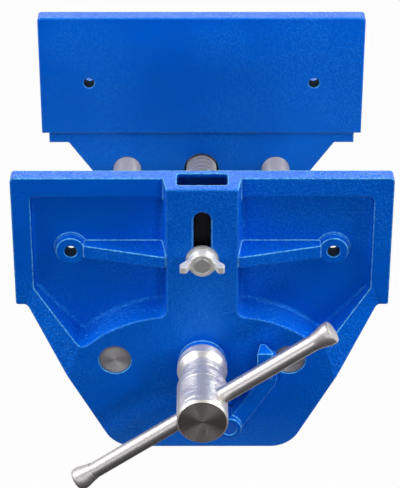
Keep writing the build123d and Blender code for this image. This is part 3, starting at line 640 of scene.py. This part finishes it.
# %% Copies of the ridge, laid along Y
step_back = ridge.node("ShaderNodeCombineXYZ", {}, {"Z": pitch}).outputs[0]
row = ridge.node("GeometryNodeMeshLine", {}, {"Count": given["Copies"], "Offset": step_back})
placed = ridge.node(
    "GeometryNodeInstanceOnPoints", {}, {"Points": row.outputs[0], "Instance": swept.outputs[0]}
)
twisted = ridge.node(
    "GeometryNodeTransform", {}, {"Geometry": placed.outputs[0], "Rotation": given["Turn"]}
)
laid = ridge.node(
    "GeometryNodeTransform",
    {},
    {"Geometry": twisted.outputs[0], "Rotation": (-pi / 2, 0, 0), "Translation": given["Start"]},
)
real = ridge.node("GeometryNodeRealizeInstances", {}, {"Geometry": laid.outputs[0]})
finished = ridge.node(
    "GeometryNodeSetMaterial", {}, {"Geometry": real.outputs[0], "Material": given["Finish"]}
)
ridge.node("NodeGroupOutput", {}, {"Geometry": finished.outputs[0]})


def ridge_mesh(name, **sizes):
    """The ridge as a plain mesh. sizes holds the tree's inputs by name."""
    holder = put_in_scene(name, bpy.data.meshes.new(name))
    modifier = holder.modifiers.new("ridge", "NODES")
    modifier.node_group = ridge_group
    for label, value in sizes.items():
        modifier[ridge_sockets[label.replace("_", "-")]] = value
    mesh = with_modifiers(holder)
    shape = bmesh.new()
    shape.from_mesh(mesh)
    bmesh.ops.recalc_face_normals(shape, faces=shape.faces)
    volume = shape.calc_volume(signed=True)
    shape.to_mesh(mesh)
    shape.free()
    print(name, len(mesh.polygons), "faces,", round(volume * 1e9, 1), "cubic millimetres")
    return mesh


# %% [markdown]
# The main screw is a long bar with a coarse thread between its smooth journal in the front jaw
# and its plain tail. The solid of it is a plain bar as thick as the thread's crests. So the
# core is drawn down to the thread's root, and the ridge is wound on it, one tenth of a
# millimetre into the core, so that no gap shows between them.

# %% The sizes of the main screw
screw_low, screw_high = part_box("main_screw")
screw_z = (screw_low.z + screw_high.z) / 2
crest_radius = (screw_high.z - screw_low.z) / 2
screw_pitch = 0.006
ridge_height = 0.0029
ridge_sunk = 0.0001
root_radius = crest_radius - ridge_height
journal_step = 0.001
journal_radius = crest_radius - journal_step
nose_radius = 0.008
nose_length = 0.026
tail_radius = 0.007
chamfer = 0.001
shoulder = 0.0015
end_groove = 0.0008
lead_in = 0.008
jaw_face_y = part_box("front_jaw_casting")[1].y
thread_start_y = jaw_face_y + lead_in
thread_back_y = 0.148
screw_turns = (thread_back_y - chamfer - thread_start_y) / screw_pitch
screw_outline = [
    (screw_low.y, 0),
    (screw_low.y, nose_radius),
    (screw_low.y + nose_length, nose_radius),
    (screw_low.y + nose_length, journal_radius),
    (jaw_face_y, journal_radius),
    (jaw_face_y + shoulder, root_radius),
    (thread_back_y - chamfer, root_radius),
    (thread_back_y, root_radius - end_groove),
    (thread_back_y, tail_radius),
    (screw_high.y - chamfer, tail_radius),
    (screw_high.y, tail_radius - chamfer),
    (screw_high.y, 0),
]
print("screw turns:", round(screw_turns, 1), "jaw's clamping face at", round(jaw_face_y, 4))

# %% [markdown]
# A used thread is bright on its crests, where the half nut rubs it. Its root is painted dark,
# as oil and as painted shade in the grooves. Two materials would need faces sorted by radius,
# so one material reads how far a place is from the screw's axis.

# %% The steel of the thread
thread_steel = Finish("steel_thread")
screw_x, _, height_in_jaw = thread_steel.parts(thread_steel.coordinates)
from_axis = screw_x.reach(height_in_jaw - screw_z)
# Painted shade and oil: the thread's root is painted dark.
root_shade_and_oil = 1 - from_axis.between(root_radius + 0.0003, crest_radius - 0.0005)
oil_stain = thread_steel.noise(60, 3)
worn = thread_steel.blend(oil_stain, colour(196, 190, 184), colour(226, 220, 213))
tool_rings = thread_steel.noise(1.0, 1, thread_steel.stretched(along_y))
steel_thread = thread_steel.surface(
    Base_Color=thread_steel.blend(0.8 * root_shade_and_oil, worn, colour(74, 68, 62)),
    Metallic=0.7,
    Roughness=0.28 + 0.1 * oil_stain + 0.12 * root_shade_and_oil,
    Normal=thread_steel.relief(tool_rings, 0.00008),
)

# %% The threaded screw
screw_ridge = ridge_mesh(
    "screw_ridge",
    Radius=root_radius - ridge_sunk,
    Height=ridge_height + ridge_sunk,
    Foot=0.0038,
    Crest=0.0022,
    Pitch=screw_pitch,
    Turns=screw_turns,
    Run_out=0.4,
    Steps=40,
    Copies=1,
    Start=(0.0, thread_start_y, screw_z),
    Turn=(0.0, 0.0, 0.0),
    Finish=steel_thread,
)
screw_meshes = [turned_mesh("screw_core", screw_outline, screw_z), screw_ridge]
joined("threaded_screw", screw_meshes, "main_screw", "main_screw", steel_thread)

# %% [markdown]
# The half nut is a saddle under the screw. Its teeth are arcs of the same ridge, turned inside
# out: narrow at the small radius and wide at the wall. A right-handed thread goes back by one
# pitch for each turn, so the first arc starts half a pitch beside the screw's ridge, less the
# part of a pitch that its starting angle stands for. The teeth then lie in the screw's grooves.

# %% The teeth of the half nut
saddle_front_y = -0.067
saddle_back_y = -0.027
saddle_radius = 0.0113
tooth_clearance = 0.0003
tooth_start = 282
tooth_end = 168
tooth_margin = 0.0012
tooth_turns = (tooth_start - tooth_end) / 360
beside_ridge = thread_start_y + screw_pitch * (0.5 - tooth_start / 360)
first_tooth = ceil((saddle_front_y + tooth_margin - beside_ridge) / screw_pitch)
tooth_y = beside_ridge + first_tooth * screw_pitch
tooth_room = saddle_back_y - tooth_margin - tooth_turns * screw_pitch - tooth_y
teeth = floor(tooth_room / screw_pitch) + 1
nut_teeth = ridge_mesh(
    "nut_teeth",
    Radius=root_radius + tooth_clearance,
    Height=saddle_radius - root_radius,
    Foot=0.0018,
    Crest=0.0034,
    Pitch=screw_pitch,
    Turns=tooth_turns,
    Run_out=0.015,
    Steps=72,
    Copies=teeth,
    Start=(0.0, tooth_y, screw_z),
    Turn=(0.0, 0.0, radians(-tooth_start)),
    Finish=iron,
)
print("teeth in the saddle:", teeth, "first at", round(tooth_y, 4))

# %% [markdown]
# The lever, the half nut, the tie plate, the bench dog and the wing nut have soft edges that
# catch the light. Their solids are sharp, so a copy of each is merged, freed of the lines
# between flat triangles, and rounded by a Bevel modifier. The wing nut is die cast and rounder
# still, so its copy is rebuilt from fine cubes by a Remesh modifier and then smoothed. Each copy
# stands for its solid. The big castings don't need this: their edges are rounded in the
# paint's shading.

# %% Softened copies
merge_distance = 0.000002
flat_angle = radians(0.5)
edge_angle = radians(30)


def melted(holder, cube):
    """Rebuilds an object from cubes of a given size, then smooths it."""
    melting = holder.modifiers.new("melting", "REMESH")
    melting.mode = "VOXEL"
    melting.voxel_size = cube
    smoothing = holder.modifiers.new("smoothing", "SMOOTH")
    smoothing.factor = 0.5
    smoothing.iterations = 16


def eased(holder, width):
    """Rounds an object's edges by width."""
    rounding = holder.modifiers.new("rounding", "BEVEL")
    rounding.width = width
    rounding.segments = 3
    rounding.limit_method = "ANGLE"
    rounding.angle_limit = edge_angle


def softened(name, node, body, finish, soften, amount, added=()):
    """A copy of a solid, merged and then softened. It stands for the solid."""
    shape = bmesh.new()
    shape.from_mesh(frame["nodes"][node].data)
    bmesh.ops.remove_doubles(shape, verts=shape.verts, dist=merge_distance)
    bmesh.ops.dissolve_limit(shape, angle_limit=flat_angle, verts=shape.verts, edges=shape.edges)
    mesh = bpy.data.meshes.new(name)
    shape.to_mesh(mesh)
    shape.free()
    holder = put_in_scene(name, mesh)
    soften(holder, amount)
    joined(name, [with_modifiers(holder), *added], body, node, finish)


softened("wing_nut_cast", "wing_nut", "wing_nut", nut_zinc, melted, 0.0003)
softened(
    "release_lever_cast",
    "release_lever",
    "release_lever",
    enamel_blue,
    eased,
    0.0009,
)
softened(
    "half_nut_cast", "half_nut", "half_nut", iron, eased, 0.0008, added=[nut_teeth]
)
softened("tie_plate_rounded", "tie_plate", "front_jaw", zinc, eased, 0.0006)
softened("bench_dog_rounded", "bench_dog", "dog", black, eased, 0.0005)

# %% [markdown]
# The floor is a plain pale plane under the apron. The camera sees it as white, while to light
# it is a matt grey, so it keeps the vise's shadow and doesn't light the vise from below. Steel
# mirrors it dark ahead of the vise and white under it, which gives the handle its dark lower
# half with a thin bright rim.

# %% The floor
floor_z = cad_low[2] - 0.0005
floor_half = 6.0
floor_seen = 0.98
mirrored_ahead = 0.02
mirrored_below = 1.0
ahead_y = -0.38
below_y = -0.32
floor_mesh = bpy.data.meshes.new("floor")
corners = [(-1, -1), (1, -1), (1, 1), (-1, 1)]
floor_places = [(floor_half * x, floor_half * y, floor_z) for x, y in corners]
floor_mesh.from_pydata(floor_places, [], [(0, 1, 2, 3)])
ground = put_in_scene("floor", floor_mesh)


def ways_of_seeing(tree):
    """1 where the camera looks straight at it, and 1 where metal or glass shows it."""
    rays = tree.node("ShaderNodeLightPath").outputs
    seen = Number(tree, rays["Is Camera Ray"])
    return seen, Number(tree, rays["Is Glossy Ray"]) + Number(tree, rays["Is Transmission Ray"])


paper = Finish("paper")
looked_at, mirrored = ways_of_seeing(paper)
_, floor_y, _ = paper.parts(paper.coordinates)
below = floor_y.between(ahead_y, below_y)
shade = looked_at + mirrored * (mirrored_ahead + below * (mirrored_below - mirrored_ahead))
shade_colour = paper.blend(shade, (0, 0, 0, 1), (1, 1, 1, 1))
glow = paper.node("ShaderNodeEmission", {}, {"Color": shade_colour, "Strength": 1.0}).outputs[0]
matt = paper.node("ShaderNodeBsdfDiffuse", {}, {"Color": (0.16, 0.16, 0.16, 1)}).outputs[0]
glowing = looked_at * floor_seen + mirrored
mixed = paper.node("ShaderNodeMixShader", {}, {"Fac": glowing, "Shader": matt, "Shader_001": glow})
paper.node("ShaderNodeOutputMaterial", {}, {"Surface": mixed.outputs[0]})
ground.data.materials.append(paper.material)
print("floor at", round(floor_z, 4), "m")

# %% [markdown]
# A picture of bright steel is made by what the steel mirrors. The world is white to the camera
# and in mirrors, apart from a grey gap overhead: a turned piece then shows two white bands with
# a grey strip between. What lights the vise stays at a plain level, so that the colours render
# as they are written.

# %% The world
white_level = 1.0
sky_level = 0.27
gap_level = 0.15
world = bpy.data.worlds.new("studio")
bpy.context.scene.world = world
world.use_nodes = True
studio = Tree(world.node_tree)
looked_at, mirrored = ways_of_seeing(studio)
aside, _, above = studio.parts(studio.node("ShaderNodeTexCoord").outputs["Generated"])
gap = (1 - aside.size().between(0.3, 0.42)) * above.between(0.55, 0.7)
shown = white_level - gap * (white_level - gap_level)
strength = sky_level + looked_at * (white_level - sky_level) + mirrored * (shown - sky_level)
sky = studio.node("ShaderNodeBackground", {}, {"Strength": strength})
studio.node("ShaderNodeOutputWorld", {}, {"Surface": sky.outputs[0]})
print("the sky lights at", sky_level, "and is mirrored at", gap_level, "to", white_level)

# %% [markdown]
# The lamps stand in pairs, two overhead, two at the sides and two small ones in front, with
# the grey gap between them, and one wide lamp stands behind to light the tops. Area lamps give
# the soft edges of a studio. A spot or a sun would give hard shadows and thin highlights.

# %% The lamps
head_place = (0, -0.3, 0)
seat_place = (0, 0, 0)
apron_place = (0, -0.2, 0)


def softbox(name, place, target, size, power):
    """A rectangular lamp at place, turned to face target."""
    lamp = bpy.data.lights.new(name, "AREA")
    lamp.shape = "RECTANGLE"
    lamp.size, lamp.size_y = size
    lamp.energy = power
    holder = put_in_scene(name, lamp)
    holder.location = place
    holder.rotation_euler = (Vector(target) - Vector(place)).to_track_quat("-Z", "Y").to_euler()
    print("lamp", name, "at", power, "watts")


softbox("back", (0.0, 2.4, 1.6), seat_place, size=(2.4, 0.5), power=17)
softbox("overhead_left", (-0.95, -0.4, 1.15), head_place, size=(0.7, 0.4), power=12)
softbox("overhead_right", (0.95, -0.4, 1.15), head_place, size=(0.7, 0.4), power=14)
softbox("left", (-1.2, -0.4, 0.5), head_place, size=(0.8, 0.5), power=5)
softbox("right", (1.2, -0.4, 0.5), head_place, size=(0.8, 0.5), power=6)
softbox("front_left", (-0.7, -2.4, 0.35), apron_place, size=(0.3, 0.3), power=5)
softbox("front_right", (0.7, -2.4, 0.35), apron_place, size=(0.3, 0.3), power=6.5)
